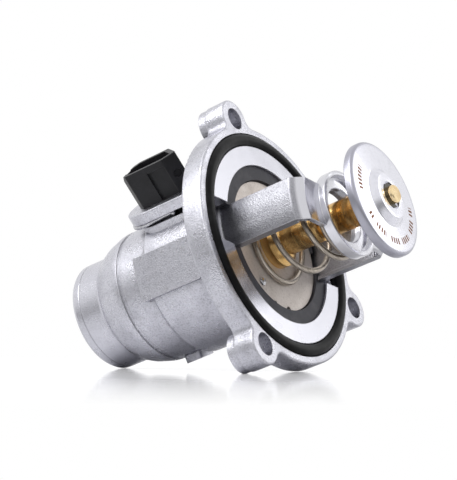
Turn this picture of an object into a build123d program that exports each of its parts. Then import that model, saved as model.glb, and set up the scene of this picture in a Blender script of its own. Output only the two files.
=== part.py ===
from build123d import *
import os
from math import cos, hypot, radians, sin

# Engine coolant thermostat with an electric heater in its wax element.
# Millimetres. The origin is the centre of the flange's mating face. X runs along the
# thermostat's axis, from the hose neck (-X) to the bypass disc (+X). Z points along the
# connector, and angles are measured in the YZ plane from +Y towards +Z.

# Flange, its seal groove and its three bolt lugs, each lug as (distance, angle)
flange_radius = 37.3
flange_thickness = 7.0
flange_edge = 0.7
seal_cord = 4.0
seal_radius = 32.95
seal_clearance = 0.05
seal_proud = 1.0
lug_places = ((39.6, 66.0), (38.8, 202.8), (39.3, 300.4))
lug_radius = 6.1
lug_length = 9.3
lug_edge = 0.6
lug_step = 0.3
lug_blend = 3.0
bolt_hole_radius = 3.4

# Housing body and hose neck; each rise point is (x, share of the way up to the shoulder)
body_radius = 22.4
body_end_x = -34.3
body_step_length = 1.2
body_edge = 1.0
body_foot_bevel = 1.2
shoulder_step = 1.6
neck_start_x = -55.6
shoulder_rise = ((-54.3, 0.29), (-51.6, 0.63))
shoulder_end_x = -46.5
band_start_x = -45.0
band_end_x = -43.4
band_depth = 0.35
body_wall = 4.0
neck_radius = 17.0
neck_end_x = -66.1
neck_bevel = 0.9
neck_bore_radius = 13.6
neck_bore_start_x = -53.0
chamber_end_x = -41.0

# Cast pads on the body
side_pad_angle = 148.0
side_pad_width = 13.5
side_pad_start_x = -36.5
side_pad_end_x = -14.5
side_pad_height = 0.3
foot_pad_angle = -108.0
foot_pad_width = 8.0
foot_pad_start_x = -43.0
foot_pad_end_x = -37.0
foot_pad_height = 0.3

# Rubber seat ring in the flange face
seat_ring_radius = 24.8
seat_ring_band = 4.3
seat_ring_front_x = -0.9
seat_ring_back_x = -4.2
seat_lip_front_x = -3.05
seat_lip_reach = 1.6
seat_fit_gap = 0.05

# Main valve plate
valve_plate_front_x = -1.8
valve_plate_thickness = 1.2
valve_plate_edge_gap = 0.3
vent_radius = 1.1
vent_angles = (-145.0, -126.0)
vent_hole_radius = 1.0
vent_hole_inset = 3.2
vent_hole_angle = -167.0

# Bridge that carries the main spring
bridge_angle = 137.3
bridge_width = 13.0
bridge_sheet = 1.5
bridge_front_x = 23.4
bridge_bevel = 3.1
bridge_bend = 1.0
bridge_arm_inset = 1.5
bridge_rib_width = 1.2
bridge_rib_depth = 1.1
bridge_rib_back_x = -0.5
bridge_rim_radius = 13.1
bridge_rim_front_x = 25.4
bridge_hole_radius = 8.3
bridge_collar_length = 3.4
bridge_collar_sheet = 1.2
bridge_foot_reach = 31.1
bridge_foot_back_x = -5.6
bridge_foot_gap = 0.1
pocket_rib_gap = 0.4
pocket_mouth_radius = 31.3

# Wax element: guide, cup, rubber sleeve and wax
guide_nose_x = -9.0
guide_nose_radius = 4.0
guide_flange_radius = 6.2
guide_flange_thickness = 1.3
guide_hub_radius = 4.6
guide_hub_front_x = 1.0
cup_fit_gap = 0.05
collar_radius = 7.3
collar_front_x = 1.6
collar_bevel = 0.8
cup_radius = 4.65
cup_taper_end_x = 3.4
cup_rear_end_x = 15.6
cup_neck_radius = 3.3
cup_front_start_x = 18.7
cup_front_end_x = 34.2
cup_edge = 0.5
cup_wall = 0.9
sleeve_radius = 2.9
sleeve_front_x = 12.2

# Working piston with the heater inside it
piston_radius = 1.8
piston_wall = 0.5
piston_front_x = 10.4
piston_back_x = -19.0
piston_running_gap = 0.05
heater_gap = 0.15
heater_front_x = 9.2
heater_back_x = -17.0

# Bypass disc with its pin, clip and spring
disc_radius = 17.3
disc_front_x = 37.4
disc_back_x = 34.6
disc_sheet = 0.9
disc_edge = 1.2
hub_base_radius = 8.8
hub_top_radius = 6.9
hub_curve = 1.2
hub_front_x = 39.4
clip_recess_radius = 4.1
clip_recess_depth = 0.8
hub_floor = 0.8
pin_radius = 2.65
pin_front_x = 41.0
pin_back_x = 23.5
pin_fit_gap = 0.02
pin_running_gap = 0.06
pin_groove_depth = 0.6
pin_bevel = 0.25
pin_clip_radius = 3.7
pin_clip_thickness = 0.6
pin_clip_gap = 0.05
pin_clip_angle = -70.0
pin_clip_mouth = 3.0
bypass_wire = 0.8
bypass_spring_small_radius = 3.75
bypass_spring_large_radius = 5.35
bypass_end_turns = 0.35
bypass_free_turns = 1.6
spring_seat_gap = 0.05

# Main spring
spring_wire = 1.8
spring_large_radius = 12.1
spring_small_radius = 10.75
spring_end_turns = 0.75
spring_free_turns = 2.27
spring_start_angle = -104.6

# Connector boss on the housing
connector_x = -22.0
boss_half_width = 9.2
boss_left_x = -38.2
boss_roof = 3.3
boss_foot_half_width = 8.6
boss_foot_left_x = -35.8
boss_foot_depth = 7.0
boss_edge = 0.6
plug_bore_radius = 6.3
slot_rise = 0.1
slot_height = 1.8
slot_core_half_width = 4.9
slot_core_left_x = -36.6
boss_draft = 9.0
slot_end_x = -10.5

# Connector moulding
shroud_half_width = 5.7
shroud_left_x = -33.0
shroud_right_x = -12.6
shroud_edge = 0.8
shroud_bevel = 1.8
shroud_height = 11.2
shroud_wall = 1.5
shroud_floor_height = 2.6
shroud_gap = 0.1
panel_start_x = -22.9
panel_end_x = -16.6
panel_depth = 0.7
panel_margin = 2.0
latch_x = -24.5
latch_width = 4.0
latch_height = 2.4
latch_proud = 1.1
latch_drop = 1.6
key_hole_radius = 1.3
key_hole_drop = 5.9
key_hole_depth = 1.0
plug_gap = 0.1
plug_drop = 6.9
plug_clip_groove_radius = 5.05
plug_seal_cord = 1.8
plug_seal_drop = 2.9
plug_seal_gap = 0.05
stem_length = 8.4
stem_width = 7.0
stem_end_z = -4.4
stem_edge = 1.2
socket_radius = 3.6
socket_front_x = -12.0
socket_fit_gap = 0.03

# Terminals and leads
terminal_spacing = 5.0
terminal_width = 2.8
terminal_thickness = 0.8
terminal_top_drop = 4.4
terminal_root_drop = 0.5
terminal_point = 0.25
embedded_gap = 0.05
lead_radius = 0.4
lead_height = 0.5
lead_bend = 1.2
lead_offset = 1.1
lead_jog_top_drop = 1.5
lead_jog_low_rise = 0.4

# Wire clip that holds the connector in its boss
clip_wire = 1.7
clip_bend_x = -38.0
clip_bend_half_width = 8.1
clip_bend_radius = 6.9
clip_hold_half_width = 5.95
clip_hold_bend = 3.0
clip_hold_x = -23.0
clip_end_x = -20.9
clip_end_half_width = 6.3

# Places worked out from the sizes above
shoulder_radius = body_radius - shoulder_step
shoulder_points = [(x, neck_radius + share * (shoulder_radius - neck_radius)) for x, share in shoulder_rise]
chamber_radius = body_radius - body_wall
seat_ring_inner_radius = seat_ring_radius - seat_ring_band
seat_lip_inner_radius = seat_ring_inner_radius - seat_lip_reach
valve_plate_radius = seat_ring_inner_radius - valve_plate_edge_gap
vent_hole_distance = valve_plate_radius - vent_hole_inset
bridge_arm_radius = seat_ring_radius - bridge_arm_inset
seal_centre_x = seal_proud - seal_cord / 2
seal_groove_x = seal_proud - seal_cord - seal_clearance
bridge_back_x = bridge_front_x - bridge_sheet
bridge_inner_radius = bridge_arm_radius - bridge_sheet - bridge_rib_depth
pocket_inner_radius = bridge_inner_radius - pocket_rib_gap
bridge_foot_front_x = bridge_foot_back_x + bridge_sheet
pocket_floor_x = bridge_foot_back_x - bridge_foot_gap
pocket_width = bridge_width + 2 * bridge_foot_gap
valve_plate_back_x = valve_plate_front_x - valve_plate_thickness
guide_flange_front_x = valve_plate_back_x - cup_fit_gap
guide_flange_back_x = guide_flange_front_x - guide_flange_thickness
guide_bore_radius = piston_radius + piston_running_gap
collar_back_x = valve_plate_front_x + cup_fit_gap
wax_space_radius = cup_radius - cup_wall
wax_space_front_x = cup_rear_end_x - cup_wall
sleeve_back_x = guide_hub_front_x + cup_fit_gap
piston_bore_radius = piston_radius - piston_wall
hub_back_x = hub_front_x - clip_recess_depth - hub_floor
pin_clip_back_x = hub_front_x - clip_recess_depth + pin_clip_gap
pin_groove_radius = pin_radius - pin_groove_depth
plug_radius = plug_bore_radius - plug_gap
plug_seal_radius = plug_bore_radius - plug_seal_gap - plug_seal_cord / 2
slot_low_z = body_radius + slot_rise
slot_middle_z = slot_low_z + slot_height / 2
boss_top_z = slot_low_z + slot_height + boss_roof
shroud_base_z = boss_top_z + shroud_gap
shroud_floor_z = boss_top_z + shroud_floor_height
shroud_top_z = boss_top_z + shroud_height
latch_top_z = shroud_top_z - latch_drop
key_hole_z = shroud_top_z - key_hole_drop
plug_end_z = slot_low_z - plug_drop
plug_seal_z = slot_low_z - plug_seal_drop
terminal_top_z = shroud_top_z - terminal_top_drop
terminal_bottom_z = slot_low_z - terminal_root_drop
lead_jog_top_z = terminal_bottom_z - lead_jog_top_drop
lead_jog_low_z = plug_end_z + lead_jog_low_rise
lead_left_x = connector_x - lead_offset
lead_right_x = connector_x + lead_offset
seat_floor_x = seat_ring_back_x - seat_fit_gap
bridge_bevel_shift = bridge_sheet * (2**0.5 - 1)
shroud_points = (
    (shroud_left_x + 3, -shroud_half_width),
    (shroud_right_x - 3.8, -shroud_half_width),
    (shroud_right_x, -2.4),
    (shroud_right_x - 6.3, shroud_half_width),
    (shroud_left_x + 3.4, shroud_half_width),
    (shroud_left_x, 1.6),
    (shroud_left_x, -2.5),
)
key_plane = Plane(
    origin=(shroud_right_x - 1.9, -(shroud_half_width + 2.4) / 2, key_hole_z),
    z_dir=(shroud_half_width - 2.4, -3.8, 0),
)


def across(angle, x=0.0):
    """Plane square to the axis, with its own X pointing out at an angle."""
    out = (0, cos(radians(angle)), sin(radians(angle)))
    return Plane(origin=(x, 0, 0), x_dir=out, z_dir=(1, 0, 0))


def outward(angle, radius):
    """Plane at a distance from the axis, facing out at an angle, with X along the axis."""
    out = (0, cos(radians(angle)), sin(radians(angle)))
    origin = (0, radius * out[1], radius * out[2])
    return Plane(origin=origin, x_dir=(1, 0, 0), z_dir=out)


def lug_centres():
    """Bolt lug centres in the flange plane."""
    return [(r * cos(radians(a)), r * sin(radians(a))) for r, a in lug_places]


def turned(*points, mode=Mode.ADD):
    """Solid of revolution from a closed outline of (x, radius) points."""
    with BuildSketch(Plane.XY) as outline:
        with BuildLine():
            Polyline(*points, close=True)
        make_face()
    revolve(outline.sketch, axis=Axis.X, mode=mode)


def radial_block(angle, inner, outer, width, back_x, front_x, mode=Mode.ADD):
    """Block that points out from the axis at an angle."""
    with BuildSketch(across(angle, back_x)) as outline:
        with Locations(((inner + outer) / 2, 0)):
            Rectangle(outer - inner, width)
    extrude(outline.sketch, amount=front_x - back_x, mode=mode)


def shroud_outline(inset):
    """Keyed outline of the shroud, set in from its outer faces."""
    Polygon(*shroud_points, align=None)
    fillet(vertices(), shroud_edge)
    if inset:
        offset(amount=-inset, kind=Kind.INTERSECTION)


def boss_outline(half_width, left_x, right_x):
    """Strip along the axis with a round left end."""
    with Locations((left_x + half_width, 0)):
        Circle(half_width)
    with Locations(((left_x + half_width + right_x) / 2, 0)):
        Rectangle(right_x - left_x - half_width, 2 * half_width)


def plug_groove(radius, low_z, high_z):
    """Groove turned into the plug down to a radius."""
    with BuildSketch(Plane.XY.offset(low_z)) as outline:
        with Locations((connector_x, 0)):
            Circle(plug_bore_radius)
            Circle(radius, mode=Mode.SUBTRACT)
    extrude(outline.sketch, amount=high_z - low_z, mode=Mode.SUBTRACT)


def terminal_block(centre_x, gap, top_z):
    """Flat terminal, or with a gap the slot that it sits in."""
    with BuildSketch(Plane.XY.offset(terminal_bottom_z - gap)) as outline:
        with Locations((centre_x, 0)):
            Rectangle(terminal_width + 2 * gap, terminal_thickness + 2 * gap)
    length = top_z - terminal_bottom_z + gap
    extrude(outline.sketch, amount=length, mode=Mode.SUBTRACT if gap else Mode.ADD)


def lead(terminal_x, drop_x, height, gap=0.0):
    """Round lead from a terminal to the heater, or with a gap the channel around it."""
    with BuildLine() as path:
        FilletPolyline(
            (terminal_x, 0, terminal_bottom_z),
            (terminal_x, 0, lead_jog_top_z),
            (drop_x, 0, lead_jog_low_z),
            (drop_x, 0, height),
            (heater_back_x, 0, height),
            radius=lead_bend,
        )
    with BuildSketch(Plane(origin=path.line @ 0, z_dir=path.line % 0)) as section:
        Circle(lead_radius + gap)
    sweep(section.sketch, path=path.line, mode=Mode.SUBTRACT if gap else Mode.ADD)


def eased(share):
    """Linear rise from 0 to 1 with a soft start and a soft end."""
    soft = 0.06
    if share < soft:
        return share**2 / (2 * soft * (1 - soft))
    if share > 1 - soft:
        return 1 - eased(1 - share)
    return (share - soft / 2) / (1 - soft)


def coil(start_x, end_x, start_radius, end_radius, wire, flat_turns, free_turns, start_angle):
    """Round wire wound about the axis, with a flat part at each end."""
    turns = free_turns + 2 * flat_turns
    steps = round(turns * 18)
    points = []
    for step in range(steps + 1):
        turn = turns * step / steps
        rise = eased(min(max((turn - flat_turns) / free_turns, 0), 1))
        radius = start_radius + (end_radius - start_radius) * turn / turns
        angle = radians(start_angle + 360 * turn)
        point = (start_x + (end_x - start_x) * rise, radius * cos(angle), radius * sin(angle))
        points.append(point)
    with BuildLine() as path:
        Spline(*points)
    with BuildSketch(Plane(origin=path.line @ 0, z_dir=path.line % 0)) as section:
        Circle(wire / 2)
    sweep(section.sketch, path=path.line, is_frenet=True)


# Housing: one aluminium casting, machined on the flange face and in the seat
with BuildPart() as housing:
    with BuildSketch(Plane.XY.offset(boss_top_z)):
        boss_outline(boss_half_width, boss_left_x, -flange_thickness / 2)
    extrude(amount=slot_low_z - boss_top_z)
    fillet(edges().group_by(Axis.Z)[-1], boss_edge)
    with BuildSketch(Plane.YZ):
        Circle(flange_radius)
        with Locations(*lug_centres()):
            Circle(lug_radius)
        joins = vertices().filter_by(lambda v: abs(hypot(v.X, v.Y) - flange_radius) < 0.01)
        fillet(joins.filter_by(lambda v: abs(v.Y) > 0.01), lug_blend)
    extrude(amount=-flange_thickness)
    rims = edges().filter_by(Plane.YZ)
    fillet(rims.filter_by(lambda e: hypot((e @ 0.5).Y, (e @ 0.5).Z) > flange_radius - 0.01), flange_edge)
    with BuildSketch(Plane.YZ.offset(-flange_thickness / 2)):
        with Locations(*lug_centres()):
            Circle(lug_radius - lug_step)
    extrude(amount=flange_thickness / 2 - lug_length)
    fillet(edges().group_by(Axis.X)[0], lug_edge)
    with BuildSketch(Plane.XY):
        with BuildLine():
            FilletPolyline(
                (neck_end_x, 0),
                (neck_end_x, neck_radius - neck_bevel * 2 / 3),
                (neck_end_x + neck_bevel, neck_radius),
                (neck_start_x, neck_radius),
                *shoulder_points,
                (shoulder_end_x, shoulder_radius),
                (body_end_x, shoulder_radius),
                (body_end_x + body_step_length, body_radius),
                (-flange_thickness - body_foot_bevel, body_radius),
                (-flange_thickness, body_radius + body_foot_bevel),
                (-flange_thickness, seat_ring_radius + 2),
                (-flange_thickness / 2, seat_ring_radius + 2),
                (-flange_thickness / 2, 0),
                radius=(0.2, 0.4, 2, 5, 8, 8, body_edge, body_edge, 0, 0, 0, 0),
            )
            Line((-flange_thickness / 2, 0), (neck_end_x, 0))
        make_face()
    revolve(axis=Axis.X)
    turned(
        (band_start_x, shoulder_radius - band_depth),
        (band_end_x, shoulder_radius - band_depth),
        (band_end_x, body_radius),
        (band_start_x, body_radius),
        mode=Mode.SUBTRACT,
    )
    with BuildSketch(Plane.XY.offset(slot_low_z)):
        boss_outline(boss_foot_half_width, boss_foot_left_x, -flange_thickness / 2)
    extrude(amount=body_radius - boss_foot_depth - slot_low_z, taper=-boss_draft)
    with BuildSketch(outward(side_pad_angle, body_radius - body_wall)):
        with Locations(((side_pad_start_x + side_pad_end_x) / 2, 0)):
            RectangleRounded(side_pad_end_x - side_pad_start_x, side_pad_width, 1)
    extrude(amount=body_wall + side_pad_height)
    with BuildSketch(outward(foot_pad_angle, body_radius - body_wall)):
        with Locations(((foot_pad_start_x + foot_pad_end_x) / 2, 0)):
            RectangleRounded(foot_pad_end_x - foot_pad_start_x, foot_pad_width, 1)
    extrude(amount=body_wall + foot_pad_height)
    turned(
        (neck_end_x - 1, 0),
        (neck_end_x - 1, neck_bore_radius),
        (neck_bore_start_x, neck_bore_radius),
        (chamber_end_x, chamber_radius),
        (seat_floor_x, chamber_radius),
        (seat_floor_x, seat_ring_radius + seat_fit_gap),
        (1, seat_ring_radius + seat_fit_gap),
        (1, 0),
        mode=Mode.SUBTRACT,
    )
    turned(
        (seal_groove_x, seal_radius - seal_cord / 2 - seal_clearance),
        (1, seal_radius - seal_cord / 2 - seal_clearance),
        (1, seal_radius + seal_cord / 2 + seal_clearance),
        (seal_groove_x, seal_radius + seal_cord / 2 + seal_clearance),
        mode=Mode.SUBTRACT,
    )
    for angle in (bridge_angle, bridge_angle + 180):
        radial_block(
            angle, pocket_inner_radius, pocket_mouth_radius, pocket_width, pocket_floor_x, 1, Mode.SUBTRACT
        )
        radial_block(
            angle,
            pocket_inner_radius,
            bridge_foot_reach + bridge_foot_gap,
            pocket_width,
            pocket_floor_x,
            bridge_foot_front_x + bridge_foot_gap,
            Mode.SUBTRACT,
        )
    with BuildSketch(Plane.YZ.offset(1)):
        with Locations(*lug_centres()):
            Circle(bolt_hole_radius)
    extrude(amount=-lug_length - 2, mode=Mode.SUBTRACT)
    with BuildSketch(Plane.XY.offset(boss_top_z + 1)):
        with Locations((connector_x, 0)):
            Circle(plug_bore_radius)
    extrude(amount=-boss_top_z - 1, mode=Mode.SUBTRACT)
    with BuildSketch(Plane.XY.offset(slot_low_z)):
        with Locations(((boss_left_x - 2 + slot_end_x) / 2, 0)):
            Rectangle(slot_end_x - boss_left_x + 2, 2 * boss_half_width + 2)
        with BuildSketch(mode=Mode.SUBTRACT):
            boss_outline(slot_core_half_width, slot_core_left_x, slot_end_x + 1)
    extrude(amount=slot_height, mode=Mode.SUBTRACT)

# Rubber ring that seals the flange
with BuildPart() as flange_seal:
    with BuildSketch(Plane.XY):
        with Locations((seal_centre_x, seal_radius)):
            Circle(seal_cord / 2)
    revolve(axis=Axis.X)

# Rubber seat ring, notched where the bridge arms pass
with BuildPart() as seat_ring:
    turned(
        (seat_ring_back_x, seat_lip_inner_radius),
        (seat_lip_front_x, seat_lip_inner_radius),
        (seat_lip_front_x, seat_ring_inner_radius),
        (seat_ring_front_x, seat_ring_inner_radius),
        (seat_ring_front_x, seat_ring_radius),
        (seat_ring_back_x, seat_ring_radius),
    )
    for angle in (bridge_angle, bridge_angle + 180):
        radial_block(
            angle, pocket_inner_radius, pocket_mouth_radius, pocket_width, pocket_floor_x, 1, Mode.SUBTRACT
        )

# Bridge: one sheet steel pressing with two arms and a spring ring
with BuildPart() as bridge:
    with BuildSketch(Plane.XY):
        with BuildLine():
            FilletPolyline(
                (bridge_foot_back_x, bridge_foot_reach),
                (bridge_foot_front_x, bridge_foot_reach),
                (bridge_foot_front_x, bridge_arm_radius),
                (bridge_front_x - bridge_bevel, bridge_arm_radius),
                (bridge_front_x, bridge_arm_radius - bridge_bevel),
                (bridge_front_x, bridge_rim_radius - bridge_sheet / 2),
                radius=(0, bridge_bend, 1, 1),
            )
            FilletPolyline(
                (bridge_front_x, bridge_rim_radius - bridge_sheet / 2),
                (bridge_back_x, bridge_rim_radius - bridge_sheet / 2),
                (bridge_back_x, bridge_arm_radius - bridge_bevel - bridge_bevel_shift),
                (bridge_front_x - bridge_bevel - bridge_bevel_shift, bridge_arm_radius - bridge_sheet),
                (bridge_foot_back_x, bridge_arm_radius - bridge_sheet),
                (bridge_foot_back_x, bridge_foot_reach),
                radius=(0, 0.5, 0.5, bridge_bend + bridge_sheet),
            )
        make_face()
    revolve(axis=Axis.X)
    turned(
        (bridge_rib_back_x, bridge_inner_radius),
        (bridge_front_x - bridge_bevel - bridge_bevel_shift, bridge_inner_radius),
        (bridge_front_x - bridge_bevel - bridge_bevel_shift, bridge_arm_radius - bridge_sheet / 2),
        (bridge_rib_back_x, bridge_arm_radius - bridge_sheet / 2),
    )
    with BuildSketch(across(bridge_angle, bridge_rib_back_x)):
        Rectangle(4 * bridge_arm_radius, bridge_width - 2 * bridge_rib_width)
        Circle(bridge_arm_radius - bridge_sheet, mode=Mode.INTERSECT)
    extrude(amount=bridge_back_x - bridge_rib_back_x - bridge_bevel, mode=Mode.SUBTRACT)
    with BuildSketch(across(bridge_angle, bridge_foot_back_x)):
        Rectangle(4 * bridge_arm_radius, bridge_width)
    extrude(amount=bridge_front_x - bridge_foot_back_x, mode=Mode.INTERSECT)
    with BuildSketch(Plane.XY):
        with BuildLine():
            FilletPolyline(
                (bridge_front_x - bridge_collar_length, bridge_hole_radius),
                (bridge_front_x, bridge_hole_radius),
                (bridge_front_x, bridge_rim_radius - bridge_sheet),
                (bridge_rim_front_x, bridge_rim_radius - bridge_sheet),
                (bridge_rim_front_x, bridge_rim_radius),
                (bridge_back_x, bridge_rim_radius),
                (bridge_back_x, bridge_hole_radius + bridge_collar_sheet),
                (bridge_front_x - bridge_collar_length, bridge_hole_radius + bridge_collar_sheet),
                (bridge_front_x - bridge_collar_length, bridge_hole_radius),
                radius=(0, 0.4, 0.3, 0.4, 0.4, 0.5, 0.2, 0),
            )
        make_face()
    revolve(axis=Axis.X)

# Main valve plate
with BuildPart() as valve_plate:
    with BuildSketch(Plane.YZ.offset(valve_plate_back_x)):
        Circle(valve_plate_radius)
        Circle(guide_hub_radius + cup_fit_gap, mode=Mode.SUBTRACT)
        for angle in vent_angles:
            with Locations(Rotation(0, 0, angle) * Location((valve_plate_radius, 0))):
                Circle(vent_radius, mode=Mode.SUBTRACT)
        with Locations(Rotation(0, 0, vent_hole_angle) * Location((vent_hole_distance, 0))):
            Circle(vent_hole_radius, mode=Mode.SUBTRACT)
    extrude(amount=valve_plate_thickness)

# Wax element: the guide is clamped behind the valve plate
with BuildPart() as element_guide:
    turned(
        (guide_nose_x, guide_bore_radius),
        (guide_nose_x, guide_nose_radius - 0.5),
        (guide_nose_x + 0.5, guide_nose_radius),
        (guide_flange_back_x, guide_nose_radius),
        (guide_flange_back_x, guide_flange_radius),
        (guide_flange_front_x, guide_flange_radius),
        (guide_flange_front_x, guide_hub_radius),
        (guide_hub_front_x, guide_hub_radius),
        (guide_hub_front_x, guide_bore_radius),
    )

# Wax element: brass cup with a collar
with BuildPart() as element_cup:
    turned(
        (collar_back_x, guide_hub_radius + cup_fit_gap),
        (collar_back_x, collar_radius),
        (collar_front_x - collar_bevel, collar_radius),
        (collar_front_x, collar_radius - collar_bevel),
        (cup_taper_end_x, cup_radius),
        (cup_rear_end_x - cup_edge, cup_radius),
        (cup_rear_end_x, cup_radius - cup_edge),
        (cup_rear_end_x, cup_neck_radius),
        (cup_front_start_x, cup_neck_radius),
        (cup_front_start_x, cup_radius - cup_edge),
        (cup_front_start_x + cup_edge, cup_radius),
        (cup_front_end_x - cup_edge, cup_radius),
        (cup_front_end_x, cup_radius - cup_edge),
        (cup_front_end_x, pin_radius + pin_fit_gap),
        (pin_back_x, pin_radius + pin_fit_gap),
        (pin_back_x, 0),
        (wax_space_front_x, 0),
        (wax_space_front_x, wax_space_radius),
        (guide_hub_front_x + cup_fit_gap, wax_space_radius),
        (guide_hub_front_x + cup_fit_gap, guide_hub_radius + cup_fit_gap),
    )

# Rubber sleeve that the wax squeezes onto the piston
with BuildPart() as elastomer_sleeve:
    turned(
        (sleeve_back_x, guide_bore_radius),
        (sleeve_back_x, sleeve_radius),
        (sleeve_front_x, sleeve_radius),
        (sleeve_front_x, 0),
        (piston_front_x + embedded_gap, 0),
        (piston_front_x + embedded_gap, guide_bore_radius),
    )

# Wax around the sleeve
with BuildPart() as wax_charge:
    turned(
        (sleeve_back_x, sleeve_radius + embedded_gap),
        (sleeve_back_x, wax_space_radius - embedded_gap),
        (wax_space_front_x - embedded_gap, wax_space_radius - embedded_gap),
        (wax_space_front_x - embedded_gap, 0),
        (sleeve_front_x + embedded_gap, 0),
        (sleeve_front_x + embedded_gap, sleeve_radius + embedded_gap),
    )

# Hollow working piston, fixed in the connector stem
with BuildPart() as working_piston:
    turned(
        (piston_back_x, piston_bore_radius),
        (piston_back_x, piston_radius),
        (piston_front_x - 0.4, piston_radius),
        (piston_front_x, piston_radius - 0.4),
        (piston_front_x, 0),
        (piston_front_x - piston_wall, 0),
        (piston_front_x - piston_wall, piston_bore_radius),
    )

# Heater cartridge inside the piston
with BuildPart() as heater_rod:
    turned(
        (heater_back_x, 0),
        (heater_back_x, piston_bore_radius - heater_gap),
        (heater_front_x, piston_bore_radius - heater_gap),
        (heater_front_x, 0),
    )

# Bypass disc, drawn from sheet
with BuildPart() as bypass_disc:
    with BuildSketch(Plane.XY):
        with BuildLine():
            FilletPolyline(
                (hub_back_x, pin_radius + pin_running_gap),
                (hub_front_x - clip_recess_depth, pin_radius + pin_running_gap),
                (hub_front_x - clip_recess_depth, clip_recess_radius),
                (hub_front_x, clip_recess_radius),
                (hub_front_x, hub_top_radius),
                (disc_front_x, hub_base_radius),
                (disc_front_x, disc_radius),
                (disc_back_x, disc_radius),
                (disc_back_x, disc_radius - disc_sheet),
                (disc_front_x - disc_sheet, disc_radius - disc_sheet),
                (disc_front_x - disc_sheet, hub_base_radius - disc_sheet),
                (hub_back_x, hub_top_radius - disc_sheet),
                (hub_back_x, pin_radius + pin_running_gap),
                radius=(0, 0, 0, 0.2, 0.5, hub_curve, disc_edge, 0.3, 0.3, 0.4, 0.3, 0.3),
            )
        make_face()
    revolve(axis=Axis.X)

# Guide pin of the bypass disc, pressed into the element
with BuildPart() as bypass_pin:
    turned(
        (pin_back_x + pin_fit_gap, 0),
        (pin_back_x + pin_fit_gap, pin_radius),
        (pin_clip_back_x - pin_fit_gap, pin_radius),
        (pin_clip_back_x - pin_fit_gap, pin_groove_radius),
        (pin_clip_back_x + pin_clip_thickness + pin_fit_gap, pin_groove_radius),
        (pin_clip_back_x + pin_clip_thickness + pin_fit_gap, pin_radius),
        (pin_front_x - pin_bevel, pin_radius),
        (pin_front_x, pin_radius - pin_bevel),
        (pin_front_x, 0),
    )

# Open clip in the groove of the pin
with BuildPart() as pin_clip:
    with BuildSketch(across(pin_clip_angle, pin_clip_back_x)):
        Circle(pin_clip_radius)
        Circle(pin_groove_radius + pin_fit_gap, mode=Mode.SUBTRACT)
        with Locations((pin_clip_radius / 2, 0)):
            Rectangle(pin_clip_radius, pin_clip_mouth, mode=Mode.SUBTRACT)
    extrude(amount=pin_clip_thickness)

# Conical spring behind the bypass disc
with BuildPart() as bypass_spring:
    coil(
        cup_front_end_x + bypass_wire / 2 + spring_seat_gap,
        hub_back_x - bypass_wire / 2 - spring_seat_gap,
        bypass_spring_small_radius,
        bypass_spring_large_radius,
        bypass_wire,
        bypass_end_turns,
        bypass_free_turns,
        0,
    )

# Main spring between the valve plate and the bridge
with BuildPart() as main_spring:
    coil(
        valve_plate_front_x + spring_wire / 2 + spring_seat_gap,
        bridge_back_x - spring_wire / 2 - spring_seat_gap,
        spring_large_radius,
        spring_small_radius,
        spring_wire,
        spring_end_turns,
        spring_free_turns,
        spring_start_angle - 360 * spring_end_turns,
    )

# Connector moulding: shroud, plug and the stem that holds the piston on the axis
with BuildPart() as connector_body:
    with BuildSketch(Plane.XY.offset(shroud_base_z)):
        shroud_outline(0)
    extrude(amount=shroud_top_z - shroud_base_z)
    with BuildSketch(Plane.XY.offset(shroud_floor_z)):
        shroud_outline(shroud_wall)
    extrude(amount=shroud_top_z - shroud_floor_z, mode=Mode.SUBTRACT)
    with BuildSketch(Plane.XZ.offset(-2 * shroud_half_width)):
        Polygon(
            (shroud_left_x, shroud_top_z - shroud_bevel),
            (shroud_left_x + shroud_bevel, shroud_top_z),
            (shroud_left_x, shroud_top_z),
            align=None,
        )
    extrude(amount=4 * shroud_half_width, mode=Mode.SUBTRACT)
    with BuildSketch(Plane.XZ.offset(shroud_half_width - panel_depth)):
        with Locations(((panel_start_x + panel_end_x) / 2, (shroud_base_z + shroud_top_z - panel_margin) / 2)):
            Rectangle(panel_end_x - panel_start_x, shroud_top_z - panel_margin - shroud_base_z)
    extrude(amount=2 * panel_depth, mode=Mode.SUBTRACT)
    with BuildSketch(Plane.XZ.offset(-shroud_half_width + panel_depth)):
        with Locations((latch_x, latch_top_z - latch_height / 2)):
            Rectangle(latch_width, latch_height)
    extrude(amount=-panel_depth - latch_proud)
    with BuildSketch(key_plane):
        Circle(key_hole_radius)
    extrude(amount=-key_hole_depth, mode=Mode.SUBTRACT)
    with BuildSketch(Plane.XY.offset(plug_end_z)):
        with Locations((connector_x, 0)):
            Circle(plug_radius)
    extrude(amount=shroud_base_z - plug_end_z)
    plug_groove(plug_clip_groove_radius, slot_low_z, slot_low_z + slot_height)
    plug_groove(
        plug_seal_radius - plug_seal_cord / 2 - plug_seal_gap,
        plug_seal_z - plug_seal_cord / 2 - plug_seal_gap,
        plug_seal_z + plug_seal_cord / 2 + plug_seal_gap,
    )
    with BuildSketch(Plane.XY.offset(stem_end_z)):
        with Locations((connector_x, 0)):
            RectangleRounded(stem_length, stem_width, stem_edge)
    extrude(amount=plug_end_z - stem_end_z)
    turned((connector_x, 0), (connector_x, socket_radius), (socket_front_x, socket_radius), (socket_front_x, 0))
    turned(
        (piston_back_x - socket_fit_gap, 0),
        (piston_back_x - socket_fit_gap, piston_radius + socket_fit_gap),
        (socket_front_x + 1, piston_radius + socket_fit_gap),
        (socket_front_x + 1, 0),
        mode=Mode.SUBTRACT,
    )
    terminal_block(connector_x - terminal_spacing / 2, embedded_gap, shroud_floor_z)
    terminal_block(connector_x + terminal_spacing / 2, embedded_gap, shroud_floor_z)
    lead(connector_x - terminal_spacing / 2, lead_left_x, -lead_height, embedded_gap)
    lead(connector_x + terminal_spacing / 2, lead_right_x, lead_height, embedded_gap)

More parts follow.
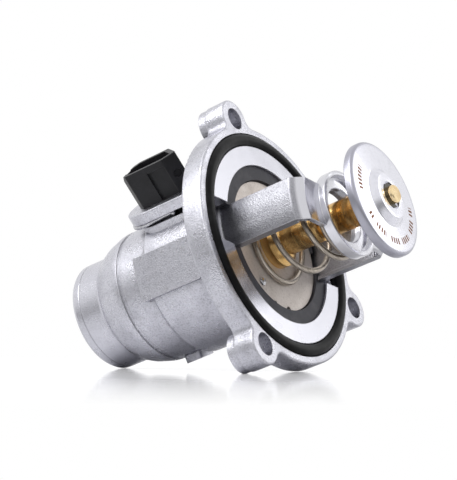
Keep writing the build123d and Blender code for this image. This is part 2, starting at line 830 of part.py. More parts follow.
# Terminals, moulded into the connector
with BuildPart() as contact_pin_left:
    terminal_block(connector_x - terminal_spacing / 2, 0, terminal_top_z)
    chamfer(edges().group_by(Axis.Z)[-1], terminal_point)

with BuildPart() as contact_pin_right:
    terminal_block(connector_x + terminal_spacing / 2, 0, terminal_top_z)
    chamfer(edges().group_by(Axis.Z)[-1], terminal_point)

# Leads from the terminals to the heater
with BuildPart() as lead_wire_left:
    lead(connector_x - terminal_spacing / 2, lead_left_x, -lead_height)

with BuildPart() as lead_wire_right:
    lead(connector_x + terminal_spacing / 2, lead_right_x, lead_height)

# Rubber ring around the plug
with BuildPart() as connector_seal:
    with BuildSketch(Plane.XZ):
        with Locations((connector_x + plug_seal_radius, plug_seal_z)):
            Circle(plug_seal_cord / 2)
    revolve(axis=Axis((connector_x, 0, 0), (0, 0, 1)))

# Spring wire clip across the plug
with BuildPart() as retaining_clip:
    with BuildLine() as clip_path:
        FilletPolyline(
            (clip_end_x, -clip_end_half_width, slot_middle_z),
            (clip_hold_x, -clip_hold_half_width, slot_middle_z),
            (clip_bend_x, -clip_bend_half_width, slot_middle_z),
            (clip_bend_x, clip_bend_half_width, slot_middle_z),
            (clip_hold_x, clip_hold_half_width, slot_middle_z),
            (clip_end_x, clip_end_half_width, slot_middle_z),
            radius=(clip_hold_bend, clip_bend_radius, clip_bend_radius, clip_hold_bend),
        )
    with BuildSketch(Plane(origin=clip_path.line @ 0, z_dir=clip_path.line % 0)):
        Circle(clip_wire / 2)
    sweep(path=clip_path.line)

housing.part.label = "housing"
flange_seal.part.label = "flange_seal"
seat_ring.part.label = "seat_ring"
bridge.part.label = "bridge"
valve_plate.part.label = "valve_plate"
element_guide.part.label = "element_guide"
element_cup.part.label = "element_cup"
elastomer_sleeve.part.label = "elastomer_sleeve"
wax_charge.part.label = "wax_charge"
working_piston.part.label = "working_piston"
heater_rod.part.label = "heater_rod"
bypass_disc.part.label = "bypass_disc"
bypass_pin.part.label = "bypass_pin"
pin_clip.part.label = "pin_clip"
bypass_spring.part.label = "bypass_spring"
main_spring.part.label = "main_spring"
connector_body.part.label = "connector_body"
contact_pin_left.part.label = "contact_pin_left"
contact_pin_right.part.label = "contact_pin_right"
lead_wire_left.part.label = "lead_wire_left"
lead_wire_right.part.label = "lead_wire_right"
connector_seal.part.label = "connector_seal"
retaining_clip.part.label = "retaining_clip"

os.makedirs("parts", exist_ok=True)
export_step(housing.part, "parts/housing.step")
export_step(flange_seal.part, "parts/flange_seal.step")
export_step(seat_ring.part, "parts/seat_ring.step")
export_step(bridge.part, "parts/bridge.step")
export_step(valve_plate.part, "parts/valve_plate.step")
export_step(element_guide.part, "parts/element_guide.step")
export_step(element_cup.part, "parts/element_cup.step")
export_step(elastomer_sleeve.part, "parts/elastomer_sleeve.step")
export_step(wax_charge.part, "parts/wax_charge.step")
export_step(working_piston.part, "parts/working_piston.step")
export_step(heater_rod.part, "parts/heater_rod.step")
export_step(bypass_disc.part, "parts/bypass_disc.step")
export_step(bypass_pin.part, "parts/bypass_pin.step")
export_step(pin_clip.part, "parts/pin_clip.step")
export_step(bypass_spring.part, "parts/bypass_spring.step")
export_step(main_spring.part, "parts/main_spring.step")
export_step(connector_body.part, "parts/connector_body.step")
export_step(contact_pin_left.part, "parts/contact_pin_left.step")
export_step(contact_pin_right.part, "parts/contact_pin_right.step")
export_step(lead_wire_left.part, "parts/lead_wire_left.step")
export_step(lead_wire_right.part, "parts/lead_wire_right.step")
export_step(connector_seal.part, "parts/connector_seal.step")
export_step(retaining_clip.part, "parts/retaining_clip.step")
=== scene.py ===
"""Finishes, springs and stage for an electrically heated coolant thermostat."""

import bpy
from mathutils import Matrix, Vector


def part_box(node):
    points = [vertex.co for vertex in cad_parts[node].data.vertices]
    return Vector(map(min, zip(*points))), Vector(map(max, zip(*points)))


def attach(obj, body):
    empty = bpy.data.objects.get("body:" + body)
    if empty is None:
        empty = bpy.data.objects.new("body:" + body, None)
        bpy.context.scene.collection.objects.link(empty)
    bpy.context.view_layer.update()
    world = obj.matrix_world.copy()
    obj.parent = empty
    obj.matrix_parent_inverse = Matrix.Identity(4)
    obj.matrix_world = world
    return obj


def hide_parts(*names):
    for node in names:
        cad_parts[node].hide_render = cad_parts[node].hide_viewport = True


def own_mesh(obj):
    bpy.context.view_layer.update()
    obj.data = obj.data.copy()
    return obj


bl_info = {
    "name": "Coolant Thermostat Finish",
    "version": (1, 0, 0),
    "blender": (4, 5, 0),
    "location": "View3D > Sidebar > Thermostat",
    "description": "Finishes the thermostat's solids, winds its springs and sets the stage",
    "category": "Object",
}

from math import radians, tau

import bmesh
import bpy
from mathutils import Matrix, Vector

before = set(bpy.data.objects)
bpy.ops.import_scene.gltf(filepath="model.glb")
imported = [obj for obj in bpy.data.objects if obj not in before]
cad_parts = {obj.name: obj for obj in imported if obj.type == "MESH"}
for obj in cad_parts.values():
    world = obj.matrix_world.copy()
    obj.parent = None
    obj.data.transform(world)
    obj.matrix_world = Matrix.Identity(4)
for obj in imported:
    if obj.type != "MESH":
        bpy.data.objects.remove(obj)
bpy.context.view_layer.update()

MM = 0.001

# Places that the finishes follow, in millimetres along the part's axis or out from it.
FACE_DEPTH = (-0.35, 1.0)
FACE_RING = (24.6, 31.1)
HOSE_NECK = (-70.0, -54.5)
NECK_LINE = (-63.25, -62.95)
BRIDGE_RING_START = (21.2, 21.8)
DISC_FACE = (37.2, 37.8)
DISC_RIM = (15.4, 17.0)

# Plain burnt strokes on the bypass disc: the band they stand in, in millimetres from the axis, and
# their pitches and the arcs they fill, in radians about it.
STROKE_BAND = (12.3, 14.2)
STROKE_PITCH = 0.095
GROUP_PITCH = 0.52
GROUP_SHIFT = 0.31
STROKE_ROW = (radians(-99), radians(50))
STROKE_BLOCK = (radians(-162), radians(-128))

# Vent rivet in the valve plate: its angle from +Y towards +Z in degrees, its distance from the axis
# in millimetres, and its profile as pairs of height over the plate's back or front and radius.
VENT_ANGLE = -167.0
VENT_DISTANCE = 17.0
RIVET_BACK = ((-0.9, 0.0), (-0.9, 1.3), (-0.3, 1.3), (-0.3, 0.55))
RIVET_FRONT = ((0.15, 0.55), (0.15, 1.25), (0.45, 1.15), (0.75, 0.75), (0.85, 0.0))

# Rounded ends of the retaining wire, in millimetres.
CLIP_END_RADIUS = 0.88
CLIP_END_HALF_WIDTH = 7.1
CLIP_END_INSET = 0.3

# Solids: points nearer than this, in millimetres, are one, and edges over this angle stay sharp.
CAD_WELD = 0.004
CAD_SHARP = 28

# Springs: resting turns at each end, free turns between them, and where the wire starts, in degrees
# from +Y towards +Z. The gap to what carries them is in millimetres.
MAIN_FLAT_TURNS = 0.75
MAIN_FREE_TURNS = 2.27
MAIN_START_ANGLE = -374.6
BYPASS_FLAT_TURNS = 0.35
BYPASS_FREE_TURNS = 1.6
BYPASS_START_ANGLE = 0.0
SPRING_GAP = 0.05
WIRE_SIDES = 20
STEPS_PER_TURN = 72

# Camera and floor in the part's frame. The part lies on its neck, its low lug and its flange.
UP = Vector((0.32662, 0.46443, 0.82318)).normalized()
CAMERA_PLACE = Vector((241.357, -431.860, 121.941)) * MM
CAMERA_RIGHT = Vector((0.795038, 0.335923, -0.505045))
CAMERA_AHEAD = Vector((-0.496216, 0.839056, -0.223055))
LEVEL_AHEAD = (CAMERA_AHEAD - UP * CAMERA_AHEAD.dot(UP)).normalized()
FLOOR_DEPTH = 37.4 * MM
FLOOR_RADIUS = 340 * MM
FLOOR_FADE = (80.0, 200.0)

# Soft lights: their places and sizes in metres.
KEY_PLACE = UP * 0.56 - CAMERA_RIGHT * 0.42 - LEVEL_AHEAD * 0.20
KEY_SIZE = 0.55
FILL_PLACE = CAMERA_RIGHT * 0.70 + UP * 0.35 + LEVEL_AHEAD * 0.15
FILL_SIZE = 0.5

# Room that the metals reflect: its brightness, and how much of it the level band takes away.
ROOM_WHITE = 0.97
BAND_SHADE = 0.62


def linear(code):
    """Linear red, green, blue and alpha of an sRGB hex colour such as "#c8c8cc"."""
    channels = [int(code[i : i + 2], 16) / 255 for i in (1, 3, 5)]
    return (*[c / 12.92 if c <= 0.04045 else ((c + 0.055) / 1.055) ** 2.4 for c in channels], 1.0)


def colour(name, code, description):
    """Colour property with its default given as an sRGB hex code."""
    return bpy.props.FloatVectorProperty(
        name=name,
        description=description,
        subtype="COLOR",
        size=4,
        min=0,
        max=1,
        default=linear(code),
    )


def length(name, millimetres, description):
    """Length property with its default given in millimetres."""
    return bpy.props.FloatProperty(
        name=name,
        description=description,
        subtype="DISTANCE",
        unit="LENGTH",
        precision=5,
        default=millimetres * MM,
    )


class ThermostatFinish(bpy.types.PropertyGroup):
    """Colours of the thermostat's finishes."""

    casting: colour("Casting", "#d0d0d8", "Skin of the aluminium casting")
    casting_shade: colour("Casting shade", "#8c8c95", "Darker grains and stains of the casting")
    machined: colour("Machined face", "#d0d0d8", "Turned aluminium on the flange face")
    seal: colour("Flange seal", "#09090b", "Black nitrile rubber of the flange seal")
    seat: colour("Seat ring", "#48484f", "Grey rubber of the valve seat")
    sheet: colour("Bridge sheet", "#a8a8ae", "Stainless sheet of the bridge")
    plate: colour("Valve plate", "#dcd4ce", "Main valve plate")
    brass: colour("Brass", "#e6bc7a", "Turned brass of the wax element")
    wire: colour("Spring wire", "#c2b8ac", "Drawn spring wire")
    disc: colour("Bypass disc", "#eeeef6", "Pressed bypass disc")
    laser: colour("Laser strokes", "#6e4528", "Burnt strokes on the bypass disc")
    pin: colour("Bypass pin", "#ffe6b4", "Pin through the bypass disc")
    moulding: colour("Connector", "#17171a", "Black glass-filled nylon of the connector")
    orange: colour("Connector seal", "#8a3a1e", "Silicone ring around the plug")


class ThermostatSprings(bpy.types.PropertyGroup):
    """Sizes of the two springs."""

    main_wire: length("Main wire", 1.8, "Wire thickness of the main spring")
    main_start_radius: length("Main radius at plate", 12.1, "Mean radius at the valve plate")
    main_end_radius: length("Main radius at bridge", 10.75, "Mean radius at the bridge's ring")
    bypass_wire: length("Bypass wire", 0.8, "Wire thickness of the bypass spring")
    bypass_start_radius: length("Bypass radius at element", 3.75, "Mean radius at the wax element")
    bypass_end_radius: length("Bypass radius at disc", 5.35, "Mean radius behind the bypass disc")


class ThermostatStage(bpy.types.PropertyGroup):
    """Floor, light and camera."""

    floor: colour("Floor", "#f4f4f6", "Pale floor under the thermostat")
    key_power: bpy.props.FloatProperty(
        name="Key light", description="Power of the large soft light", unit="POWER", default=3.5
    )
    fill_power: bpy.props.FloatProperty(
        name="Fill light", description="Power of the side light", unit="POWER", default=1.0
    )
    sky: bpy.props.FloatProperty(
        name="Surround", description="Strength of the white surround", default=0.45
    )
    floor_lift: bpy.props.FloatProperty(
        name="Floor lift", description="White added to the floor that the camera sees", default=0.2
    )
    lens: bpy.props.FloatProperty(
        name="Lens", description="Focal length in millimetres", unit="CAMERA", default=130.06
    )


def add(tree, kind, inputs=None, output=0, **settings):
    """Adds a node with its settings, gives its inputs values or links, and returns one output."""
    node = tree.nodes.new("ShaderNode" + kind)
    for name, value in settings.items():
        setattr(node, name, value)
    for socket, value in (inputs or {}).items():
        if isinstance(value, bpy.types.NodeSocket):
            tree.links.new(value, node.inputs[socket])
        else:
            node.inputs[socket].default_value = value
    return node.outputs[output] if node.outputs else None


def new_material(name):
    """Empty node material: its tree, and the Object coordinates in millimetres."""
    material = bpy.data.materials.new(name)
    material.use_nodes = True
    tree = material.node_tree
    tree.nodes.clear()
    place = add(tree, "TexCoord", output="Object")
    return material, tree, add(tree, "VectorMath", {0: place, "Scale": 1 / MM}, operation="SCALE")


def surface(tree, pattern, depth, under=None, **inputs):
    """Principled surface whose bump follows a pattern, to a depth in millimetres, over a normal."""
    relief = {"Height": pattern, "Distance": depth * MM, "Strength": 1.0}
    if under is not None:
        relief["Normal"] = under
    sockets = {name.replace("_", " "): value for name, value in inputs.items()}
    sockets["Normal"] = add(tree, "Bump", relief)
    add(tree, "OutputMaterial", {"Surface": add(tree, "BsdfPrincipled", sockets)})


def layer(tree, base, share, strength, tone):
    """Colour under a second one, which covers a share of it at a given strength."""
    cover = add(tree, "Math", {0: share, 1: strength}, operation="MULTIPLY")
    mixed = {"Factor": cover, "A": base, "B": tone}
    return add(tree, "Mix", mixed, "Result", data_type="RGBA")


def patches(tree, place, size, levels, detail=3.0, roughness=0.55):
    """Noise with grains of a size in millimetres, and its patches: 0 to 1 between two levels."""
    grain = {"Vector": place, "Scale": 1 / size, "Detail": detail, "Roughness": roughness}
    value = add(tree, "TexNoise", grain)
    low, high = levels
    return value, add(tree, "MapRange", {"Value": value, "From Min": low, "From Max": high})


def uneven(tree, value, low, high):
    """Value that follows a noise between a low one and a high one."""
    limits = {"From Min": 0.3, "From Max": 0.7, "To Min": low, "To Max": high}
    return add(tree, "MapRange", {"Value": value, **limits})


def axis_parts(tree, place):
    """Place along the axis and distance from it in millimetres, and angle about it in radians.

    The angle is zero below the axis and positive towards +Y.
    """
    x, y, z = add(tree, "SeparateXYZ", {"Vector": place}).node.outputs
    y_square = add(tree, "Math", {0: y, 1: y}, operation="MULTIPLY")
    z_square = add(tree, "Math", {0: z, 1: z}, operation="MULTIPLY")
    square = add(tree, "Math", {0: y_square, 1: z_square}, operation="ADD")
    down = add(tree, "Math", {0: z, 1: -1.0}, operation="MULTIPLY")
    distance = add(tree, "Math", {0: square}, operation="SQRT")
    return x, distance, add(tree, "Math", {0: y, 1: down}, operation="ARCTAN2")


def turning_marks(tree, value, pitch):
    """Fine grooves that follow a value, at a pitch given in the value's unit."""
    phase = add(tree, "Math", {0: value, 1: tau / pitch}, operation="MULTIPLY")
    return add(tree, "Math", {0: phase}, operation="SINE")


def inside(tree, value, limits, soft=0.06):
    """1 where a value lies between two limits, with a soft edge."""
    low, high = limits
    rise = {"From Min": low - soft, "From Max": low + soft}
    fall = {"From Min": high - soft, "From Max": high + soft, "To Min": 1.0, "To Max": 0.0}
    risen = add(tree, "MapRange", {"Value": value, **rise})
    fallen = add(tree, "MapRange", {"Value": value, **fall})
    return add(tree, "Math", {0: risen, 1: fallen}, operation="MULTIPLY")


def edge_wear_and_highlight(tree, radius):
    """1 along edges sharper than a radius in millimetres, which wear bright and carry a painted
    highlight, and their normal.
    """
    rounded = add(tree, "Bevel", {"Radius": radius * MM}, samples=4)
    flat = add(tree, "NewGeometry", output="Normal")
    turn = add(tree, "VectorMath", {0: rounded, 1: flat}, "Value", operation="DOT_PRODUCT")
    return add(tree, "MapRange", {"Value": turn, "From Min": 0.99, "From Max": 0.85}), rounded


def painted_corner_shade(tree, reach):
    """1 in inner corners narrower than a reach in millimetres, where shade is painted into the
    colour.
    """
    reached = {"Distance": reach * MM}
    daylight = add(tree, "AmbientOcclusion", reached, "AO", samples=6, only_local=True)
    limits = {"From Min": 0.55, "From Max": 0.92, "To Min": 1.0, "To Max": 0.0}
    return add(tree, "MapRange", {"Value": daylight, **limits})


def cast_aluminium(finish):
    """Pressure die-cast aluminium, shot-blasted: pale, with sand-like sparkle and dull stains.

    Its edges are worn bright and carry a painted highlight, painted shade darkens its inner
    corners, and its flange face and neck are turned smooth.
    """
    material, tree, place = new_material("Die-cast aluminium")
    x, distance, _ = axis_parts(tree, place)
    face_depth = inside(tree, x, FACE_DEPTH)
    face_ring = inside(tree, distance, FACE_RING)
    face = add(tree, "Math", {0: face_depth, 1: face_ring}, operation="MULTIPLY")
    neck = inside(tree, x, HOSE_NECK, soft=0.4)
    neck = add(tree, "Math", {0: neck, 1: 0.6}, operation="MULTIPLY")
    smooth = add(tree, "Math", {0: face, 1: neck}, operation="MAXIMUM")
    rough = add(tree, "Math", {0: 1.0, 1: smooth}, operation="SUBTRACT")
    # The blasted grain is really about 0.2 mm across; it is drawn at 0.45 mm so that it shows.
    grains, dark_grains = patches(tree, place, 0.45, (0.48, 0.66), detail=2.0, roughness=0.6)
    clouds, dark_clouds = patches(tree, place, 7.0, (0.48, 0.7), detail=4.0, roughness=0.6)
    stains = patches(tree, place, 4.0, (0.58, 0.78), detail=5.0, roughness=0.7)[1]
    shade = add(tree, "Math", {0: dark_clouds, 1: 0.3}, operation="MULTIPLY")
    shade = add(tree, "Math", {0: dark_grains, 1: 0.42, 2: shade}, operation="MULTIPLY_ADD")
    base = layer(tree, finish.casting, shade, rough, finish.casting_shade)
    stains = add(tree, "Math", {0: stains, 1: rough}, operation="MULTIPLY")
    base = layer(tree, base, stains, 0.4, linear("#85827e"))
    # Painted shade: the colour darkens in the inner corners.
    base = layer(tree, base, painted_corner_shade(tree, reach=2.5), 0.6, linear("#5c5c64"))
    base = layer(tree, base, face, 1.0, finish.machined)
    edge, edge_normal = edge_wear_and_highlight(tree, radius=0.35)
    # Edges paled in the colour: wear and a painted highlight.
    base = layer(tree, base, edge, 0.6, linear("#f4f4f8"))
    # Turned groove near the neck's end: a bump, with painted shade darkening its line in the
    # colour.
    neck_line = inside(tree, x, NECK_LINE, soft=0.15)
    base = layer(tree, base, neck_line, 0.55, linear("#6e6e76"))
    # Depths of the neck's line and of the turning marks, as shares of the blasted grain's.
    height = add(tree, "Math", {0: grains, 1: rough}, operation="MULTIPLY")
    for pattern, share, depth in (
        (neck_line, 1.0, -0.6),
        (turning_marks(tree, distance, pitch=0.45), face, 0.012),
        (turning_marks(tree, x, pitch=0.7), neck, 0.02),
    ):
        deep = add(tree, "Math", {0: share, 1: depth}, operation="MULTIPLY")
        height = add(tree, "Math", {0: pattern, 1: deep, 2: height}, operation="MULTIPLY_ADD")
    dull = uneven(tree, clouds, 0.23, 0.35)
    dull = add(tree, "Math", {0: smooth, 1: -0.05, 2: dull}, operation="MULTIPLY_ADD")
    surface(tree, height, 0.12, edge_normal, Base_Color=base, Roughness=dull, Metallic=0.94)
    return material


def rubber(name, tone, grain, bloom):
    """Moulded rubber: dark and dull, with a fine grain, a faint grey bloom and specks of dust."""
    material, tree, place = new_material(name)
    fine = {"Vector": place, "Scale": 1 / grain, "Detail": 3.0, "Roughness": 0.55}
    fine = add(tree, "TexNoise", fine)
    cloudy = patches(tree, place, 4.0, (0.45, 0.75), detail=4.0)[1]
    specks = patches(tree, place, 0.6, (0.72, 0.76), detail=2.0)[1]
    base = layer(tree, tone, cloudy, bloom, linear("#8a8a90"))
    base = layer(tree, base, specks, 0.25, linear("#a8a8ac"))
    rough = uneven(tree, fine, 0.30, 0.42)
    surface(tree, fine, 0.03, Base_Color=base, Roughness=rough, IOR=1.52, Specular_IOR_Level=0.12)
    return material


def pressed_sheet(finish):
    """Stainless sheet, bent and tumbled: bright, with a sparkling grain and a polished ring."""
    material, tree, place = new_material("Pressed stainless sheet")
    x = axis_parts(tree, place)[0]
    start, end = BRIDGE_RING_START
    polished = add(tree, "MapRange", {"Value": x, "From Min": start, "From Max": end})
    dull = add(tree, "Math", {0: 1.0, 1: polished}, operation="SUBTRACT")
    # The tumbled grain is really about 0.15 mm across; it is drawn at 0.4 mm so that it shows.
    grains, dark_grains = patches(tree, place, 0.4, (0.48, 0.68), detail=2.0, roughness=0.6)
    clouds, dark_clouds = patches(tree, place, 6.0, (0.5, 0.8))
    shade = add(tree, "Math", {0: dark_clouds, 1: 0.2}, operation="MULTIPLY")
    shade = add(tree, "Math", {0: dark_grains, 1: 0.55, 2: shade}, operation="MULTIPLY_ADD")
    base = layer(tree, finish.sheet, shade, dull, linear("#6c6c74"))
    edge, edge_normal = edge_wear_and_highlight(tree, radius=0.35)
    # Edges paled in the colour: wear and a painted highlight.
    base = layer(tree, base, edge, 0.85, linear("#fafafc"))
    off_edge = add(tree, "Math", {0: 1.0, 1: edge}, operation="SUBTRACT")
    base = layer(tree, base, polished, off_edge, linear("#d8d8de"))
    rough = uneven(tree, clouds, 0.28, 0.38)
    rough = add(tree, "Math", {0: polished, 1: -0.17, 2: rough}, operation="MULTIPLY_ADD")
    depth = add(tree, "Math", {0: polished, 1: -0.96, 2: 1.0}, operation="MULTIPLY_ADD")
    height = add(tree, "Math", {0: grains, 1: depth}, operation="MULTIPLY")
    surface(tree, height, 0.10, edge_normal, Base_Color=base, Roughness=rough, Metallic=1.0)
    return material


def sintered_plate(finish):
    """Sintered valve plate: warm beige and matte, with fine dark pores."""
    material, tree, place = new_material("Sintered valve plate")
    pores, dark_pores = patches(tree, place, 0.5, (0.5, 0.75), detail=4.0, roughness=0.7)
    clouds, dark_clouds = patches(tree, place, 5.0, (0.5, 0.8), detail=4.0)
    base = layer(tree, finish.plate, dark_pores, 0.6, linear("#a2978e"))
    base = layer(tree, base, dark_clouds, 0.3, linear("#b8aea6"))
    rough = uneven(tree, clouds, 0.45, 0.6)
    surface(tree, pores, 0.05, Base_Color=base, Roughness=rough, Metallic=0.55)
    return material


def turned_brass(name, tone, roughness):
    """Free-cutting brass, turned and polished: amber, glossy, with faint rings and darker oxide."""
    material, tree, place = new_material(name)
    x, _, angle = axis_parts(tree, place)
    along = add(tree, "Math", {0: x, 1: 1.6}, operation="MULTIPLY")
    around = add(tree, "CombineXYZ", {"X": along, "Y": angle})
    rings, bright_rings = patches(tree, around, 1.4, (0.45, 0.7), detail=2.0)
    oxide = patches(tree, place, 5.0, (0.5, 0.75), roughness=0.5)[1]
    base = layer(tree, tone, oxide, 0.5, linear("#b08044"))
    base = layer(tree, base, bright_rings, 0.35, linear("#f0cf92"))
    rough = uneven(tree, rings, roughness - 0.04, roughness + 0.05)
    surface(tree, rings, 0.006, Base_Color=base, Roughness=rough, Metallic=1.0)
    return material


def drawn_wire(finish):
    """Drawn spring steel: warm grey and bright, with lines along the wire."""
    material, tree, place = new_material("Drawn spring steel")
    parts = {
        socket: add(tree, "Math", {0: value, 1: finer}, operation="MULTIPLY")
        for socket, value, finer in zip("XYZ", axis_parts(tree, place), (5.0, 5.0, 1.5))
    }
    stretched = add(tree, "CombineXYZ", parts)
    lines, dark_lines = patches(tree, stretched, 1.0, (0.4, 0.7), roughness=0.5)
    base = layer(tree, finish.wire, dark_lines, 0.7, linear("#6e675f"))
    rough = uneven(tree, lines, 0.22, 0.36)
    surface(tree, lines, 0.02, Base_Color=base, Roughness=rough, Metallic=1.0)
    return material


def burnt_strokes(tree, x, distance, angle):
    """1 on the plain strokes: a block of them, and a row in groups."""
    depth = inside(tree, x, DISC_FACE)
    band = inside(tree, distance, STROKE_BAND)
    face = add(tree, "Math", {0: depth, 1: band}, operation="MULTIPLY")
    wave = turning_marks(tree, angle, STROKE_PITCH)
    stroke = add(tree, "MapRange", {"Value": wave, "From Min": -0.45, "From Max": -0.1})
    shifted = add(tree, "Math", {0: angle, 1: GROUP_SHIFT}, operation="ADD")
    wave = turning_marks(tree, shifted, GROUP_PITCH)
    group = add(tree, "MapRange", {"Value": wave, "From Min": -0.75, "From Max": -0.65})
    row = inside(tree, angle, STROKE_ROW, soft=0.01)
    row = add(tree, "Math", {0: row, 1: group}, operation="MULTIPLY")
    block = inside(tree, angle, STROKE_BLOCK, soft=0.01)
    marked = add(tree, "Math", {0: row, 1: block}, operation="MAXIMUM")
    strokes = add(tree, "Math", {0: face, 1: stroke}, operation="MULTIPLY")
    return add(tree, "Math", {0: strokes, 1: marked}, operation="MULTIPLY")


def satin_disc(finish):
    """Pressed stainless disc, satin: nearly white, with painted shade greying the rim, and plain
    burnt strokes.
    """
    material, tree, place = new_material("Satin stainless disc")
    x, distance, angle = axis_parts(tree, place)
    mist, dark_mist = patches(tree, place, 3.0, (0.45, 0.75), detail=4.0)
    start, end = DISC_RIM
    shaded_rim = add(tree, "MapRange", {"Value": distance, "From Min": start, "From Max": end})
    burnt = burnt_strokes(tree, x, distance, angle)
    base = layer(tree, finish.disc, dark_mist, 0.4, linear("#c4c4ce"))
    # Painted shade: the rolled rim is greyed in the colour.
    base = layer(tree, base, shaded_rim, 0.9, linear("#a6a6b2"))
    base = layer(tree, base, burnt, 1.0, finish.laser)
    rough = uneven(tree, mist, 0.13, 0.2)
    rough = add(tree, "Math", {0: burnt, 1: 0.2, 2: rough}, operation="MULTIPLY_ADD")
    rough = add(tree, "Math", {0: shaded_rim, 1: 0.162, 2: rough}, operation="MULTIPLY_ADD")
    fine = {"Vector": place, "Scale": 1 / 0.4, "Detail": 3.0, "Roughness": 0.55}
    fine = add(tree, "TexNoise", fine)
    surface(tree, fine, 0.006, Base_Color=base, Roughness=rough, Metallic=0.95)
    return material


def glass_filled_nylon(finish):
    """Glass-filled nylon from a spark-eroded mould: black and dull, with paler edges that show wear
    and a painted highlight.
    """
    material, tree, place = new_material("Glass-filled nylon")
    texture = {"Vector": place, "Scale": 1 / 0.4, "Detail": 4.0, "Roughness": 0.7}
    texture = add(tree, "TexNoise", texture)
    pale = patches(tree, place, 5.0, (0.4, 0.8))[1]
    base = layer(tree, finish.moulding, pale, 0.2, linear("#3a3a40"))
    edge, normal = edge_wear_and_highlight(tree, radius=0.3)
    # Edges paled in the colour: wear and a painted highlight.
    base = layer(tree, base, edge, 0.3, linear("#58585e"))
    look = {"Base_Color": base, "Roughness": uneven(tree, texture, 0.36, 0.52)}
    surface(tree, texture, 0.06, normal, IOR=1.53, Specular_IOR_Level=0.28, **look)
    return material


def plain_metal(name, tone, dark, roughness, spot):
    """Small drawn or stamped metal piece: even in tone, with dull spots a few tenths wide."""
    material, tree, place = new_material(name)
    spots, dull_spots = patches(tree, place, spot, (0.45, 0.75), detail=4.0, roughness=0.6)
    base = layer(tree, linear(tone), dull_spots, 0.5, linear(dark))
    rough = uneven(tree, spots, roughness - 0.05, roughness + 0.08)
    surface(tree, spots, 0.01, Base_Color=base, Roughness=rough, Metallic=1.0)
    return material


def paraffin():
    """Wax filled with copper powder: dull pink-brown with darker specks."""
    material, tree, place = new_material("Copper-filled wax")
    powder, specks = patches(tree, place, 0.3, (0.5, 0.7), detail=2.0)
    base = layer(tree, linear("#c7a184"), specks, 1.0, linear("#8d5a3a"))
    surface(tree, powder, 0.03, Base_Color=base, Roughness=0.6, Metallic=0.2)
    return material


def dress(material, *names):
    """Gives a material to CAD nodes, and smooths their shading up to their sharp edges."""
    for name in names:
        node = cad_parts[name]
        node.data.materials.clear()
        node.data.materials.append(material)
        node.data.polygons.foreach_set("use_smooth", [True] * len(node.data.polygons))
        weld = node.modifiers.new("Weld", "WELD")
        weld.merge_threshold = CAD_WELD * MM
        split = node.modifiers.new("Sharp edges", "EDGE_SPLIT")
        split.split_angle = radians(CAD_SHARP)


def finished_piece(name, shape, material, sharp=40):
    """Object at the origin from a bmesh: normals outward, smooth up to an angle in degrees."""
    bmesh.ops.recalc_face_normals(shape, faces=shape.faces)
    mesh = bpy.data.meshes.new(name)
    shape.to_mesh(mesh)
    shape.free()
    mesh.polygons.foreach_set("use_smooth", [True] * len(mesh.polygons))
    mesh.set_sharp_from_angle(angle=radians(sharp))
    mesh.materials.append(material)
    piece = bpy.data.objects.new(name, mesh)
    bpy.context.scene.collection.objects.link(piece)
    return piece


def turned_piece(name, material, profile, centre):
    """Small piece turned about a line along X, from pairs of X and radius in millimetres."""
    shape = bmesh.new()
    across, up = centre
    points = [shape.verts.new((x * MM, radius * MM + across, up)) for x, radius in profile]
    line = [shape.edges.new(pair) for pair in zip(points, points[1:])]
    bmesh.ops.spin(
        shape,
        geom=points + line,
        cent=(0, across, up),
        axis=(1, 0, 0),
        angle=tau,
        steps=32,
        use_merge=True,
    )
    bmesh.ops.remove_doubles(shape, verts=shape.verts, dist=0.001 * MM)
    return finished_piece(name, shape, material, sharp=32)


def eased(share):
    """Linear rise from 0 to 1 with a soft start and a soft end."""
    soft = 0.06
    if share < soft:
        return share**2 / (2 * soft * (1 - soft))
    if share > 1 - soft:
        return 1 - eased(1 - share)
    return (share - soft / 2) / (1 - soft)


def wind(name, material, wire, ends, radii, flat_turns, free_turns, start_angle):
    """Spring: a ring of edges carried round the axis by extrusion, then closed at both ends."""
    start_x, end_x = ends
    start_radius, end_radius = radii
    turns = free_turns + 2 * flat_turns
    steps = round(turns * STEPS_PER_TURN)

    def section(step):
        turn = turns * step / steps
        share = min(max((turn - flat_turns) / free_turns, 0), 1)
        x = start_x + (end_x - start_x) * eased(share)
        radius = start_radius + (end_radius - start_radius) * turn / turns
        climbing = 0 < share < 1
        slope = (end_x - start_x) / (free_turns * tau * radius) if climbing else 0.0
        place = Matrix.Rotation(radians(start_angle) + tau * turn, 4, "X")
        return place @ Matrix.Translation((x, radius, 0)) @ Matrix.Rotation(slope, 4, "Y")

    shape = bmesh.new()
    bmesh.ops.create_circle(shape, segments=WIRE_SIDES, radius=wire / 2, matrix=section(0))
    ring = shape.edges[:]
    first = ring
    for step in range(1, steps + 1):
        grown = bmesh.ops.extrude_edge_only(shape, edges=ring)["geom"]
        ring = [part for part in grown if isinstance(part, bmesh.types.BMEdge)]
        tips = [part for part in grown if isinstance(part, bmesh.types.BMVert)]
        move = section(step) @ section(step - 1).inverted()
        bmesh.ops.transform(shape, matrix=move, verts=tips)
    bmesh.ops.holes_fill(shape, edges=first + ring, sides=0)
    caps = [face for face in shape.faces if len(face.verts) > 4]
    rims = [edge for face in caps for edge in face.edges]
    bmesh.ops.bevel(
        shape,
        geom=rims,
        offset=wire * 0.1,
        segments=2,
        profile=0.5,
        affect="EDGES",
        material=-1,
        clamp_overlap=True,
    )
    return finished_piece(name, shape, material)


class ThermostatCasting(bpy.types.Operator):
    """Finish the aluminium housing, its seal and its seat."""

    bl_idname = "thermostat.casting"
    bl_label = "Housing"

    def execute(self, context):
        finish = context.scene.thermostat_finish
        dress(cast_aluminium(finish), "housing")
        nitrile = rubber("Nitrile rubber", finish.seal, grain=0.35, bloom=0.05)
        dress(nitrile, "flange_seal")
        grey_rubber = rubber("Grey valve rubber", finish.seat, grain=0.3, bloom=0.2)
        dress(grey_rubber, "seat_ring")
        return {"FINISHED"}


